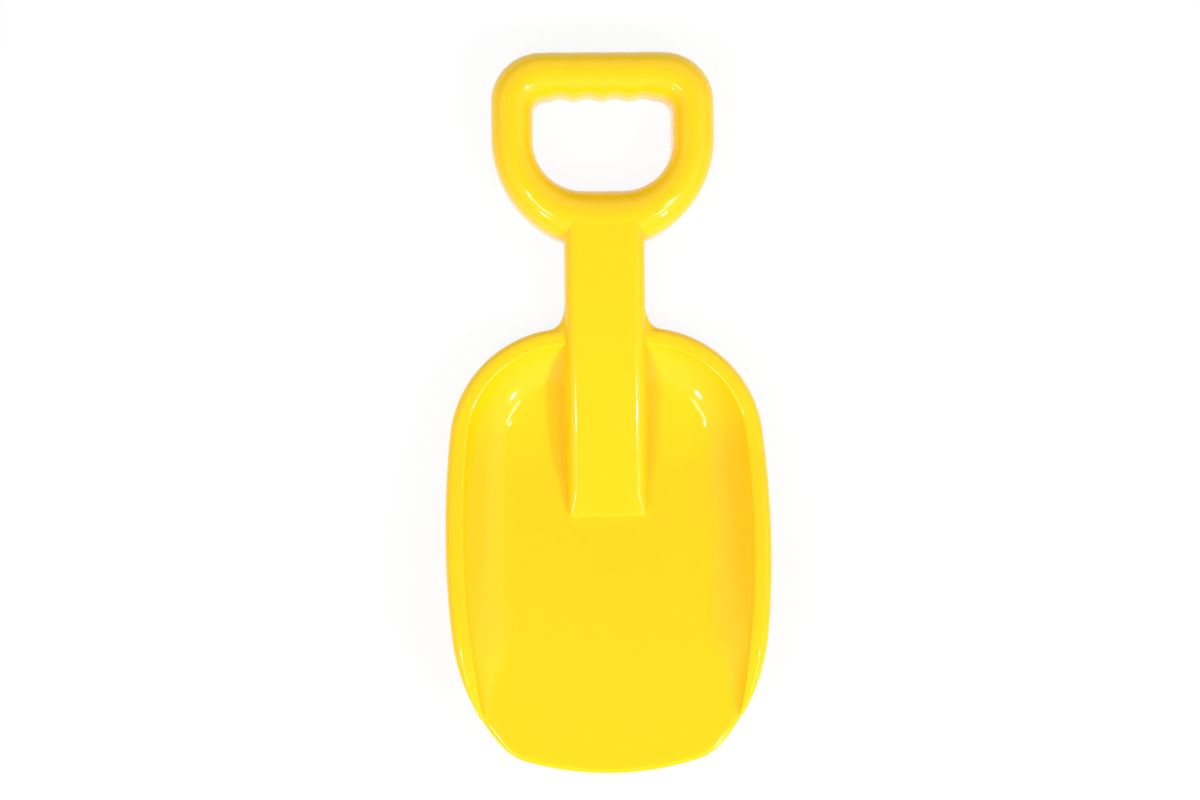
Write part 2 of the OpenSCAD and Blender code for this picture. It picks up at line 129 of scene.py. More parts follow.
def bowed(start: np.ndarray, corner: np.ndarray, end: np.ndarray, t: float) -> np.ndarray:
    """Point of a curve that rounds off a corner, from its start at 0 to its end at 1."""
    return (1 - t) ** 2 * start + 2 * t * (1 - t) * corner + t ** 2 * end


def smooth_step(value: float, low: float, high: float) -> float:
    """Ease from 0 at low to 1 at high."""
    t = min(max((value - low) / (high - low), 0.0), 1.0)
    return t * t * (3 - 2 * t)


def heading(turn: float) -> np.ndarray:
    """Plan direction of an angle in degrees."""
    return np.array([math.cos(math.radians(turn)), math.sin(math.radians(turn))])


class Modeller:
    """Hand modelling steps that the pieces share."""

    @staticmethod
    def clear_selection() -> None:
        """Leave edit mode and deselect everything."""
        if bpy.context.object and bpy.context.object.mode != "OBJECT":
            bpy.ops.object.mode_set(mode="OBJECT")
        bpy.ops.object.select_all(action="DESELECT")

    @staticmethod
    def lofted_grid(name: str, rows: np.ndarray, closed_rows: bool) -> bpy.types.Object:
        """Add a grid and draw it out into a skin of closed sections.

        Args:
            name: Name of the new object.
            rows: Sections in millimetres, one row of points each, which close on themselves.
            closed_rows: Whether the last section runs back into the first.

        Returns:
            The new object, with its seams merged.
        """
        skin = np.concatenate([rows, rows[:, :1]], axis=1)
        if closed_rows:
            skin = np.concatenate([skin, skin[:1]], axis=0)
        Modeller.clear_selection()
        row_count, point_count = skin.shape[:2]
        bpy.ops.mesh.primitive_grid_add(x_subdivisions=point_count - 1, y_subdivisions=row_count - 1, size=1)
        piece = bpy.context.object
        piece.name = name
        piece.data.name = name
        piece.data.vertices.foreach_set("co", (skin * MM).astype(np.float32).ravel())
        bpy.ops.object.mode_set(mode="EDIT")
        bpy.ops.mesh.select_all(action="SELECT")
        bpy.ops.mesh.remove_doubles(threshold=MERGE_GAP)
        bpy.ops.mesh.dissolve_degenerate(threshold=MERGE_GAP)
        bpy.ops.object.mode_set(mode="OBJECT")
        return piece

    @staticmethod
    def mirrored(piece: bpy.types.Object) -> None:
        """Complete a right half with its mirror image.

        Args:
            piece: Right half, whose open edge lies on the middle plane.
        """
        mirror = piece.modifiers.new("other_half", "MIRROR")
        mirror.use_axis = (True, False, False)
        mirror.use_mirror_merge = True
        mirror.merge_threshold = MIRROR_GAP
        bpy.ops.object.modifier_apply(modifier=mirror.name)

    @staticmethod
    def closed_and_smoothed(piece: bpy.types.Object) -> None:
        """Fill the open ends, turn all faces outwards and shade the skin smooth.

        Args:
            piece: Loft to finish.
        """
        Modeller.clear_selection()
        piece.select_set(True)
        bpy.context.view_layer.objects.active = piece
        bpy.ops.object.mode_set(mode="EDIT")
        bpy.ops.mesh.select_all(action="SELECT")
        bpy.ops.mesh.fill_holes(sides=0)
        bpy.ops.mesh.select_all(action="SELECT")
        bpy.ops.mesh.normals_make_consistent(inside=False)
        bpy.ops.object.mode_set(mode="OBJECT")
        bpy.ops.object.shade_smooth_by_angle(angle=SMOOTH_ANGLE)


@dataclass(frozen=True)
class MouldedPlastic:
    """Glossy plastic, coloured through, with faint flow marks and a fine moulded skin."""

    name: str = "yellow_moulded_plastic"
    colour: Colour = (1.0, 0.63, 0.005, 1.0)
    flow_colour: Colour = (0.99, 0.61, 0.004, 1.0)
    flow_scale: float = 14.0
    flow_detail: float = 3.0
    roughness: tuple[float, float] = (0.06, 0.10)
    haze_scale: float = 60.0
    haze_detail: float = 4.0
    skin_scale: float = 900.0
    skin_detail: float = 2.0
    skin_height: float = 0.004 * MM
    wave_scale: float = 38.0
    wave_detail: float = 1.0
    wave_height: float = 0.05 * MM
    glow_weight: float = 0.18
    glow_radius: tuple[float, float, float] = (1.0, 0.40, 0.08)
    glow_depth: float = 3.5 * MM
    ior: float = 1.49

    def material(self) -> bpy.types.Material:
        """Build the material.

        Returns:
            The new material, with all its patterns on Object coordinates.
        """
        material = bpy.data.materials.new(self.name)
        material.use_nodes = True
        tree = material.node_tree
        shader = tree.nodes["Principled BSDF"]
        shader.inputs["IOR"].default_value = self.ior
        shader.inputs["Subsurface Weight"].default_value = self.glow_weight
        shader.inputs["Subsurface Radius"].default_value = self.glow_radius
        shader.inputs["Subsurface Scale"].default_value = self.glow_depth
        place = tree.nodes.new("ShaderNodeTexCoord").outputs["Object"]

        flow = self.noise(tree, place, self.flow_scale, self.flow_detail)
        tint = tree.nodes.new("ShaderNodeMix")
        tint.data_type = "RGBA"
        tint.inputs["A"].default_value = self.colour
        tint.inputs["B"].default_value = self.flow_colour
        tree.links.new(flow, tint.inputs["Factor"])
        tree.links.new(tint.outputs["Result"], shader.inputs["Base Color"])

        haze = tree.nodes.new("ShaderNodeMapRange")
        haze.inputs["To Min"].default_value = self.roughness[0]
        haze.inputs["To Max"].default_value = self.roughness[1]
        spots = self.noise(tree, place, self.haze_scale, self.haze_detail)
        tree.links.new(spots, haze.inputs["Value"])
        tree.links.new(haze.outputs["Result"], shader.inputs["Roughness"])

        swell = self.noise(tree, place, self.wave_scale, self.wave_detail)
        waves = self.bump(tree, swell, self.wave_height, None)
        grain = self.noise(tree, place, self.skin_scale, self.skin_detail)
        skin = self.bump(tree, grain, self.skin_height, waves)
        tree.links.new(skin, shader.inputs["Normal"])
        return material

    @staticmethod
    def noise(tree: bpy.types.NodeTree, place: bpy.types.NodeSocket, scale: float,
              detail: float) -> bpy.types.NodeSocket:
        """Add a noise pattern.

        Args:
            tree: Node tree of the material.
            place: Coordinates to read.
            scale: Spots per metre.
            detail: Number of finer layers.

        Returns:
            The pattern's value.
        """
        pattern = tree.nodes.new("ShaderNodeTexNoise")
        pattern.inputs["Scale"].default_value = scale
        pattern.inputs["Detail"].default_value = detail
        tree.links.new(place, pattern.inputs["Vector"])
        return pattern.outputs["Fac"]

    @staticmethod
    def bump(tree: bpy.types.NodeTree, height: bpy.types.NodeSocket, distance: float,
             below: bpy.types.NodeSocket | None) -> bpy.types.NodeSocket:
        """Add a layer of bumps.

        Args:
            tree: Node tree of the material.
            height: Pattern of the bumps.
            distance: Height of the bumps in metres.
            below: Normal of the layer below, if there is one.

        Returns:
            The bumped normal.
        """
        node = tree.nodes.new("ShaderNodeBump")
        node.inputs["Distance"].default_value = distance
        tree.links.new(height, node.inputs["Height"])
        if below is not None:
            tree.links.new(below, node.inputs["Normal"])
        return node.outputs["Normal"]


@dataclass(frozen=True)
class Moulding:
    """Sizes that all the regions of the moulding share."""

    tip_y: float = CAD_BOX[0][1] / MM
    top_y: float = CAD_BOX[1][1] / MM
    draft: float = math.tan(math.radians(1.5))
    foot_round: float = 0.5
    foot_steps: int = 3
    edge_steps: int = 9
    wall_steps: int = 5

    @property
    def arch_count(self) -> int:
        """Number of points in an arch, which is the same for every size."""
        return len(self.arch(1, 0, 1, 1, 0))

    def arch(self, span: float, foot: float, top: float, fillet: float, inset: float) -> Profile:
        """Arch with rounded shoulders over a span.

        Args:
            span: Distance between the feet of the outer skin.
            foot: Height of the foot.
            top: Height of the outer skin's top.
            fillet: Radius of the outer skin's shoulders.
            inset: Distance inside the outer skin.

        Returns:
            Points from one foot over the top to the other, with the same count for every size.
        """
        radius = max(min(fillet, top - foot) - inset, self.foot_round)
        shoulder = top - inset - radius
        near = inset + shoulder * self.draft + radius
        start = (inset + foot * self.draft, foot)
        rise = arc_profile((near, shoulder), (radius, radius), (180, 90), self.edge_steps)
        half = [start] + line_profile(start, rise[0], self.wall_steps) + rise
        other = [(span - s, z) for s, z in reversed(half)]
        return half + line_profile(half[-1], other[0], self.wall_steps) + other

    def channel(self, span: float, foot: float, top: float, fillet: float, wall: float) -> Profile:
        """Closed section of an arch with an even wall, open below, with rounded feet.

        Args:
            span: Distance between the feet of the outer skin.
            foot: Height of the foot.
            top: Height of the outer skin's top.
            fillet: Radius of the outer skin's shoulders.
            wall: Thickness of the wall.

        Returns:
            Points of the outer skin and then of the inner skin, the other way round.
        """
        outer = self.arch(span, foot + self.foot_round, top, fillet, 0)
        inner = self.arch(span, foot + self.foot_round, top, fillet, wall)
        near_foot = self.foot_edge(inner[0][0], outer[0][0], foot)
        far_foot = self.foot_edge(outer[-1][0], inner[-1][0], foot)
        return outer + far_foot + inner[::-1] + near_foot

    def foot_edge(self, start: float, end: float, foot: float) -> Profile:
        """Rounded lower edge of a wall, from one skin to the other.

        Args:
            start: Place of the first skin across the wall.
            end: Place of the second skin.
            foot: Height of the edge.

        Returns:
            Points below both skins.
        """
        step = self.foot_round if end > start else -self.foot_round
        radius = (step, self.foot_round)
        height = foot + self.foot_round
        first = arc_profile((start + step, height), radius, (180, 270), self.foot_steps)
        second = arc_profile((end - step, height), radius, (270, 360), self.foot_steps)
        return first[1:] + second[:-1]


@dataclass(frozen=True)
class FloorLine:
    """Line of the scoop's floor along its length: a flat belly, a bend and a straight rise."""

    mould: Moulding = field(default_factory=Moulding)
    length: float = 201.2
    wall: float = 2.5
    belly_length: float = 38.5
    bend_radius: float = 120.0
    rise: float = math.radians(14.0)

    @property
    def back_y(self) -> float:
        """Place of the scoop's back edge."""
        return self.mould.tip_y + self.length

    def top_z(self, y: float) -> float:
        """Height of the floor's top.

        Args:
            y: Place along the length.

        Returns:
            The height above the surface that the shovel lies on.
        """
        into = self.back_y - self.belly_length - y
        bend = self.bend_radius * math.sin(self.rise)
        if into <= 0:
            return self.wall
        if into <= bend:
            return self.wall + self.bend_radius - math.sqrt(self.bend_radius ** 2 - into ** 2)
        return self.wall + self.bend_radius * (1 - math.cos(self.rise)) + (into - bend) * math.tan(self.rise)

    def foot_z(self, y: float) -> float:
        """Height of the floor's underside."""
        return self.top_z(y) - self.wall


@dataclass
class RingGrip:
    """Ring grip with finger recesses along its top bar."""

    mould: Moulding = field(default_factory=Moulding)
    width: float = 104.0
    length: float = 91.6
    height: float = 20.0
    corner_radius: float = 23.5
    fillet_share: float = 0.48
    arm_width: float = 19.7
    bar_width: float = 21.7
    yoke_width: float = 27.4
    lower_radius: float = 22.6
    upper_radius: float = 6.5
    finger_count: int = 4
    finger_pitch: float = 12.9
    finger_depth: float = 1.2
    wall: float = 3.0
    yoke_steps: int = 60
    arm_steps: int = 8
    corner_steps: int = 26
    bar_steps: int = 60
    search_end: float = 0.8
    search_rounds: int = 40

    @property
    def radius(self) -> float:
        """Radius of the ring's round lower half."""
        return self.width / 2

    @property
    def foot_y(self) -> float:
        """Place of the ring's lower edge, where the shaft meets it."""
        return self.mould.top_y - self.length

    @property
    def opening_half(self) -> float:
        """Half the width of the hand opening."""
        return self.radius - self.arm_width

    def yoke_pair(self, t: float) -> PlanPair:
        """Pair of plan points on the ring's lower half.

        Args:
            t: Progress from the middle of the yoke at 0 to the arm at 1.

        Returns:
            The outer and the inner point.
        """
        middle = np.array([0, self.foot_y + self.radius])
        outer = middle + self.radius * heading(90 * t - 90)
        flat = self.opening_half - self.lower_radius
        quarter = self.lower_radius * math.pi / 2
        run = t * (flat + quarter)
        opening_y = self.foot_y + self.yoke_width
        if run <= flat:
            return outer, np.array([run, opening_y])
        bend = (run - flat) / self.lower_radius - math.pi / 2
        centre = np.array([flat, opening_y + self.lower_radius])
        return outer, centre + self.lower_radius * np.array([math.cos(bend), math.sin(bend)])

    def corner_pair(self, t: float) -> PlanPair:
        """Pair of plan points on a top corner.

        Args:
            t: Progress from the arm at 0 to the bar at 1.

        Returns:
            The outer and the inner point.
        """
        way = np.array([math.cos(math.pi / 2 * t), math.sin(math.pi / 2 * t)])
        outer = np.array([self.radius - self.corner_radius, self.mould.top_y - self.corner_radius])
        inner = np.array([self.opening_half - self.upper_radius,
                          self.mould.top_y - self.bar_width - self.upper_radius])
        return outer + self.corner_radius * way, inner + self.upper_radius * way

    def recess(self, x: float) -> float:
        """Depth of the finger recesses.

        Args:
            x: Place along the bar.

        Returns:
            The depth, which is zero beside the row of recesses.
        """
        row = self.finger_count * self.finger_pitch / 2
        if abs(x) >= row:
            return 0.0
        return self.finger_depth * math.sin(math.pi * (x + row) / self.finger_pitch) ** 2

    def bar_pair(self, t: float) -> PlanPair:
        """Pair of plan points on the bar.

        Args:
            t: Progress from the bar's corner at 0 to its middle at 1.

        Returns:
            The outer and the inner point.
        """
        outer_x = (self.radius - self.corner_radius) * (1 - t)
        inner_x = (self.opening_half - self.upper_radius) * (1 - t)
        inner_y = self.mould.top_y - self.bar_width + self.recess(inner_x)
        return np.array([outer_x, self.mould.top_y]), np.array([inner_x, inner_y])

    def half_pairs(self) -> list[PlanPair]:
        """Plan pairs of the right half.

        Returns:
            The pairs from the middle of the yoke to the middle of the bar.
        """
        yoke = [self.yoke_pair(t) for t in np.linspace(0, 1, self.yoke_steps + 1)]
        corner = [self.corner_pair(t) for t in np.linspace(0, 1, self.corner_steps + 1)]
        arm = [tuple(a + (b - a) * t for a, b in zip(yoke[-1], corner[0]))
               for t in np.linspace(0, 1, self.arm_steps + 1)[1:-1]]
        bar = [self.bar_pair(t) for t in np.linspace(0, 1, self.bar_steps // 2 + 1)[1:]]
        return yoke + arm + corner + bar

    def section(self, pair: PlanPair) -> np.ndarray:
        """Closed section of the ring.

        Args:
            pair: Outer and inner plan point that the section stands on.

        Returns:
            The points of the section.
        """
        span = float(np.linalg.norm(pair[1] - pair[0]))
        way = (pair[1] - pair[0]) / span
        profile = self.mould.channel(span, 0, self.height, self.fillet_share * span, self.wall)
        return np.array([[*(pair[0] + way * s), z] for s, z in profile])

    def outer_y(self, x: float, z: float) -> float:
        """Place of the yoke's outer skin.

        Args:
            x: Place across the width.
            z: Height.

        Returns:
            The skin's place along the length.
        """
        # Halves the stretch of the yoke that holds the place, until its skin lies at x
        low, high = 0.0, self.search_end
        for _ in range(self.search_rounds):
            t = (low + high) / 2
            outer, inner = self.yoke_pair(t)
            span = float(np.linalg.norm(inner - outer))
            way = (inner - outer) / span
            radius = self.fillet_share * span
            shoulder = self.height - radius
            if z <= shoulder:
                offset = z * self.mould.draft
            else:
                rise = min(z - shoulder, radius)
                offset = shoulder * self.mould.draft + radius - math.sqrt(radius ** 2 - rise ** 2)
            point = outer + way * offset
            if point[0] < abs(x):
                low = t
            else:
                high = t
        return float(point[1])

    def build(self) -> bpy.types.Object:
        """Model the ring as one closed loft.

        Returns:
            The finished ring.
        """
        half = [self.section(pair) for pair in self.half_pairs()]
        other = [section * (-1, 1, 1) for section in half[-2:0:-1]]
        piece = Modeller.lofted_grid("ring_grip", np.array(half + other), True)
        Modeller.closed_and_smoothed(piece)
        return piece


@dataclass
class Shaft:
    """Hollow shaft from the ring down into the scoop."""

    ring: RingGrip
    floor: FloorLine
    mould: Moulding = field(default_factory=Moulding)
    width: float = 37.8
    height: float = 19.7
    fall: float = math.tan(math.radians(2.8))
    fillet: float = 5.5
    end_fillet: float = 1.2
    end_corner: float = 3.6
    end_from_tip: float = 113.8
    wall: float = 3.0
    seat: float = 1.2
    neck_rows: int = 40
    end_rows: int = 12
    seat_rounds: int = 3
    hollow_step: float = MERGE_GAP / MM * 2

    @property
    def end_y(self) -> float:
        """Place of the shaft's end in the scoop."""
        return self.mould.tip_y + self.end_from_tip

    def top_z(self, y: float) -> float:
        """Height of the shaft's top.

        Args:
            y: Place along the length.

        Returns:
            The height, which drops off round the upper edge of the shaft's end.
        """
        start_y = self.ring.foot_y + self.ring.yoke_width / 2
        into = max(self.end_y + self.end_fillet - y, 0.0)
        drop = self.end_fillet - math.sqrt(max(self.end_fillet ** 2 - into ** 2, 0.0))
        return self.height - (start_y - y) * self.fall - drop

    def rounding(self, y: float) -> float:
        """Radius of the shoulders, which runs out where the shaft sinks into the floor."""
        return min(self.fillet, self.top_z(y) - self.floor.top_z(y))

    def half_width(self, y: float) -> float:
        """Half the width of the shaft's foot, drawn in at the rounded corners of its end."""
        into = min(max(self.end_y + self.end_corner - y, 0.0), self.end_corner)
        return self.width / 2 - self.end_corner + math.sqrt(self.end_corner ** 2 - into ** 2)

    def side_x(self, y: float, z: float) -> float:
        """Half the width of the outer skin.

        Args:
            y: Place along the length.
            z: Height.

        Returns:
            The skin's distance from the middle plane.
        """
        radius = self.rounding(y)
        shoulder = self.top_z(y) - radius
        x = self.half_width(y) - min(z, shoulder) * self.mould.draft
        if z > shoulder:
            x += math.sqrt(max(radius ** 2 - (z - shoulder) ** 2, 0.0)) - radius
        return x

    def section(self, y: float) -> np.ndarray:
        """Closed section across the shaft.

        Args:
            y: Place along the length.

        Returns:
            The points of the section, with no hollow in the wall that closes the shaft's end.
        """
        half = self.half_width(y)
        foot = self.floor.foot_z(y)
        profile = self.mould.channel(2 * half, foot, self.top_z(y), self.rounding(y), self.wall)
        points = np.array([[s - half, y, z] for s, z in profile])
        if y < self.end_y + self.wall:
            hollow = slice(self.mould.arch_count, None)
            points[hollow, 2] = foot
        return points

    def seated(self, row: np.ndarray) -> np.ndarray:
        """Draw the first section on into the ring's wall.

        Args:
            row: First section, which lies across the shaft.

        Returns:
            The section that ends the shaft, just inside the ring's outer skin.
        """
        start_y = row[0][1]
        climb = self.fall / self.top_z(start_y)
        drawn = row.copy()
        # The ring's skin leans and the shaft climbs, so place and height are found by turns
        for point, (_, _, height) in zip(drawn, row):
            for _ in range(self.seat_rounds):
                point[1] = self.ring.outer_y(point[0], point[2]) + self.seat
                point[2] = height * (1 + (point[1] - start_y) * climb)
        return drawn

    def build(self) -> bpy.types.Object:
        """Model the shaft as a loft that is seated in the ring's wall.

        Returns:
            The finished shaft.
        """
        start_y = self.ring.foot_y + self.seat
        corner_y = self.end_y + self.end_corner
        places = list(np.linspace(start_y, corner_y, self.neck_rows + 1))
        hollow_end = self.end_y + self.wall
        turns = np.radians(np.linspace(0, 90, self.end_rows + 1))[1:]
        places += [hollow_end, hollow_end - self.hollow_step]
        places += [self.end_y + self.end_corner * (1 - math.sin(a)) for a in turns]
        rows = [self.section(y) for y in sorted(set(places), reverse=True)]
        piece = Modeller.lofted_grid("hollow_shaft", np.array([self.seated(rows[0])] + rows), False)
        Modeller.closed_and_smoothed(piece)
        return piece


@dataclass(frozen=True)
class Arc:
    """Arc of the scoop's outline, seen from above, from its start to its end in degrees."""

    centre: Point
    radius: float
    start: float
    end: float
    steps: int

    def plan(self, turn: float, inward: float) -> np.ndarray:
        """Plan point at a turn in degrees, inward from the arc."""
        return np.array(self.centre) + (self.radius - inward) * heading(turn)


@dataclass(frozen=True)
class Neck:
    """Line along which the scoop's back section meets the shaft's side.

    Attributes:
        meets: Turn in degrees at which each point of the section reaches the shaft.
        joint: Points of the line on the upper skin.
        out: Direction across the line at each of its points, out of the upper skin.
        radii: Radius of the fillet at each point of the line.
    """

    meets: list[float]
    joint: np.ndarray
    out: np.ndarray
    radii: list[float]


@dataclass
class Scoop:
    """Dished pan with a rolled rim and a thin front lip."""

    shaft: Shaft
    floor: FloorLine
    mould: Moulding = field(default_factory=Moulding)
    # Outline
    width: float = 149.4
    widest_from_tip: float = 109.1
    back_radius: float = 55.0
    side_radius: float = 419.0
    front_side_radius: float = 90.0
    front_corner_radius: float = 26.5
    tip_radius: float = 139.0
    front_side_start: float = 6.5
    # Depth and wall
    back_depth: float = 10.5
    depth: float = 14.0
    deepest_from_back: float = 53.5
    wall_run: float = 20.0
    wall_bow_share: float = 0.55
    underside_lean: float = 1.0
    # Rim and lip
    rim_width: float = 9.0
    rim_skirt: float = 6.0
    rim_outer: float = 4.0
    rim_inner: float = 2.4
    rim_turn: float = 30.0
    rim_hollow: float = 1.0
    rim_taper: float = 34.0
    lip_length: float = 23.2
    lip_run: float = 3.0
    lip_drop: float = 0.8
    lip_edge: float = 1.1
    least_bend: float = 0.3
    # Flare and fillet against the shaft
    flare_along_rim: float = 8.0
    flare_along_shaft: float = 14.0
    rim_flare_power: int = 2
    shaft_flare_power: int = 3
    shaft_fillet: float = 1.1
    end_fillet_cut: float = 0.4
    slot_inset: float = 0.4
    inset_power: int = 4
    least_reach: float = 1e-6
    neck_fade_share: float = 0.4
    # Counts of rows and points
    fade_rows: int = 8
    end_fade_rows: int = 6
    arc_steps: tuple[int, int, int, int, int] = (46, 40, 34, 22, 22)
    flat_steps: int = 3
    hollow_steps: int = 4
    bend_steps: int = 6
    fillet_steps: int = 9
    curve_steps: int = 16
    floor_steps: int = 14

    @property
    def rim_end_y(self) -> float:
        """Place where the rim runs out."""
        return self.mould.tip_y + self.lip_length

    def depth_at(self, y: float) -> float:
        """Depth of the floor below the rim.

        Args:
            y: Place along the length.

        Returns:
            The depth, which runs out to nothing where the rim ends.
        """
        back_y = self.floor.back_y
        deepest_y = back_y - self.deepest_from_back
        if y >= deepest_y:
            swell = math.sin(math.pi / 2 * min((back_y - y) / self.deepest_from_back, 1))
            return self.back_depth + (self.depth - self.back_depth) * swell
        run_out = (deepest_y - y) / (deepest_y - self.rim_end_y)
        return self.depth * math.sqrt(max(0.0, 1 - run_out ** 2))

    def rim_share(self, y: float) -> float:
        """Share of the rim's full size that is left."""
        return math.sin(math.pi / 2 * min(max((y - self.rim_end_y) / self.rim_taper, 0), 1))

    def arcs(self) -> list[Arc]:
        """Arcs of the right half of the outline, each tangent to the next.

        Returns:
            The arcs of the back, the side, the front of the side, the front corner and the tip.
        """
        back_reach = self.side_radius - self.back_radius
        back_turn = math.degrees(math.asin(
            (self.floor.length - self.back_radius - self.widest_from_tip) / back_reach))
        widest_y = self.mould.tip_y + self.widest_from_tip
        side = np.array([self.width / 2 - self.side_radius, widest_y])
        back = side + back_reach * heading(back_turn)
        front = side + (self.side_radius - self.front_side_radius) * heading(-self.front_side_start)
        tip = np.array([0, self.mould.tip_y + self.tip_radius])
        front_reach = self.front_side_radius - self.front_corner_radius
        tip_reach = self.tip_radius - self.front_corner_radius
        gap = float(np.linalg.norm(tip - front))
        line = (tip - front) / gap
        along = (front_reach ** 2 - tip_reach ** 2 + gap ** 2) / (2 * gap)
        across = math.sqrt(front_reach ** 2 - along ** 2)
        corner = front + along * line + across * np.array([line[1], -line[0]])
        front_turn = math.degrees(math.atan2(*(corner - front)[::-1]))
        corner_turn = math.degrees(math.atan2(*(corner - tip)[::-1]))
        centres = (back, side, front, corner, tip)
        radii = (self.back_radius, self.side_radius, self.front_side_radius, self.front_corner_radius,
                 self.tip_radius)
        turns = (90, back_turn, -self.front_side_start, front_turn, corner_turn, -90)
        return [Arc(tuple(centre), radius, start, end, steps) for centre, radius, start, end, steps
                in zip(centres, radii, turns, turns[1:], self.arc_steps)]

    def section(self, y: float) -> tuple[Profile, Profile]:
        """Section through rim and wall where the outline is at y.

        Args:
            y: Place of the outline along the length.

        Returns:
            The upper skin from the skirt's foot to the floor, and the lower skin from the floor back to the
            foot. Each point is its distance inward and its height above the floor.
        """
        share = self.rim_share(y)
        width = self.lip_edge + (self.rim_width - self.lip_edge) * share
        wall = self.floor.wall
        skirt = wall + (self.rim_skirt - wall) * share
        lift = (self.rim_inner + self.rim_hollow) * share
        run = self.lip_run + (self.wall_run - self.lip_run) * share
        drop = max(self.depth_at(y) - lift, 0) - self.lip_drop * (1 - share)
        crown = drop + lift
        outer = self.lip_edge + (self.rim_outer - self.lip_edge) * share
        inner = self.rim_inner * share
        foot = crown - skirt
        inside = self.lip_edge + (wall - self.lip_edge) * share
        under = foot + (crown - wall - foot) * share
        edge = min(self.mould.foot_round, inside / 2)

        start = (0.0, foot + edge)
        bead = arc_profile((outer, crown - outer), (outer, outer), (180, 90), self.mould.edge_steps)
        roll = arc_profile((width - inner, crown - inner), (inner, inner), (90, self.rim_turn),
                           self.mould.edge_steps)
        bow = self.wall_bow_share * share
        steps = np.linspace(0, 1, self.curve_steps + 1)
        rim_foot = np.array(roll[-1]) if share > 0 else np.array([width, drop])
        corner = np.array([width + bow * run, 0])
        floor_edge = np.array([width + run, 0])
        curve = [tuple(bowed(rim_foot, corner, floor_edge, t)) for t in steps]
        upper = [start] + line_profile(start, bead[0], self.flat_steps) + bead
        upper += line_profile(bead[-1], roll[0], self.flat_steps) + roll + curve

        below = []
        for (inward, height), t in zip(reversed(curve), reversed(steps)):
            lean = self.underside_lean if t < 1 else 0.0
            away = np.array([rim_foot[1] * (1 - t), run * (bow * (1 - 2 * t) + t) + lean])
            shift = wall * away / np.linalg.norm(away)
            below.append((inward - shift[0], height - shift[1]))
        hollow = self.rim_hollow * share
        last = below[-1]
        ceiling = max(under, last[1] + hollow)
        bend_radius = max(outer - inside, self.least_bend) * share
        below += arc_profile((last[0] - hollow, ceiling - hollow), (hollow, hollow), (0, 90),
                             self.hollow_steps)
        below += arc_profile((inside + bend_radius, ceiling - bend_radius), (bend_radius, bend_radius),
                             (90, 180), self.bend_steps)
        below += arc_profile((inside - edge, foot + edge), (edge, edge), (0, -90), self.mould.foot_steps)
        below += arc_profile((edge, foot + edge), (edge, edge), (270, 180), self.mould.foot_steps)[:-1]
        return upper, below

    def placed(self, arc: Arc, turn: float, point: Point) -> np.ndarray:
        """Point of a section in the frame."""
        plan = arc.plan(turn, point[0])
        return np.array([plan[0], plan[1], self.floor.top_z(plan[1]) + point[1]])

    @staticmethod
    def shaft_turn(arc: Arc, point: Point, side_x: float) -> float:
        """Turn at which a point of the back section reaches the shaft's side."""
        return math.degrees(math.acos((side_x - arc.centre[0]) / (arc.radius - point[0])))

    def slot_path(self, progress: float) -> np.ndarray:
        """Plan point where the floor meets the shaft's end.

        Args:
            progress: Progress from the start of the end's corner at 0 to its middle at 1.

        Returns:
            The point on the end's outline.
        """
        corner = self.shaft.end_corner
        start_y = self.shaft.end_y + corner
        edge_x = self.shaft.side_x(start_y, self.floor.top_z(start_y))
        arc_length = corner * math.pi / 2
        run = progress * (arc_length + edge_x - corner)
        if run <= arc_length:
            turn = run / corner
            return np.array([edge_x - corner * (1 - math.cos(turn)), start_y - corner * math.sin(turn)])
        return np.array([edge_x - corner - (run - arc_length), self.shaft.end_y])

    def neck(self) -> Neck:
        """Find where the back section meets the shaft's side.

        Returns:
            The meeting line, with the fillet that each of its points gets.
        """
        back = self.arcs()[0]
        upper, below = self.section(self.floor.back_y)
        meets = []
        for point in upper + below:
            side = self.shaft.side_x(self.floor.back_y - point[0], self.floor.wall + point[1])
            meets.append(self.shaft_turn(back, point, side))
        joint = np.array([self.placed(back, turn, p) for turn, p in zip(meets, upper)])
        out = np.cross(np.gradient(joint, axis=0), (1.0, 0.0, self.mould.draft))
        out /= np.linalg.norm(out, axis=1)[:, None]
        fade_start = len(upper) - self.neck_fade_share * self.curve_steps
        radii = []
        for k, way in enumerate(out):
            forward = max(way[1], 0) ** self.rim_flare_power
            wide = self.shaft_fillet + (self.flare_along_rim - self.shaft_fillet) * forward
            radii.append(wide * (1 - smooth_step(k, fade_start, len(upper) - 1)))
        return Neck(meets, joint, out, radii)

    def stations(self, neck: Neck) -> list[tuple[Arc, list[float]]]:
        """Places of the sections along the outline, from the shaft's side round to the tip.

        Args:
            neck: Meeting line and fillets, which the first section leaves room for.

        Returns:
            The arc of each section, and the turn along it of each of the section's points.
        """
        arcs = self.arcs()
        back = arcs[0]
        upper, below = self.section(self.floor.back_y)
        radii = neck.radii + [0.0] * len(below)
        stations = []
        for k in range(back.steps + 1):
            turns = []
            for point, meet, radius in zip(upper + below, neck.meets, radii):
                start = meet - math.degrees(radius / (back.radius - point[0]))
                turns.append(start + (back.end - start) * k / back.steps)
            stations.append((back, turns))
        for arc in arcs[1:]:
            for k in range(1, arc.steps + 1):
                stations.append((arc, [arc.start + (arc.end - arc.start) * k / arc.steps] * len(radii)))
        return stations

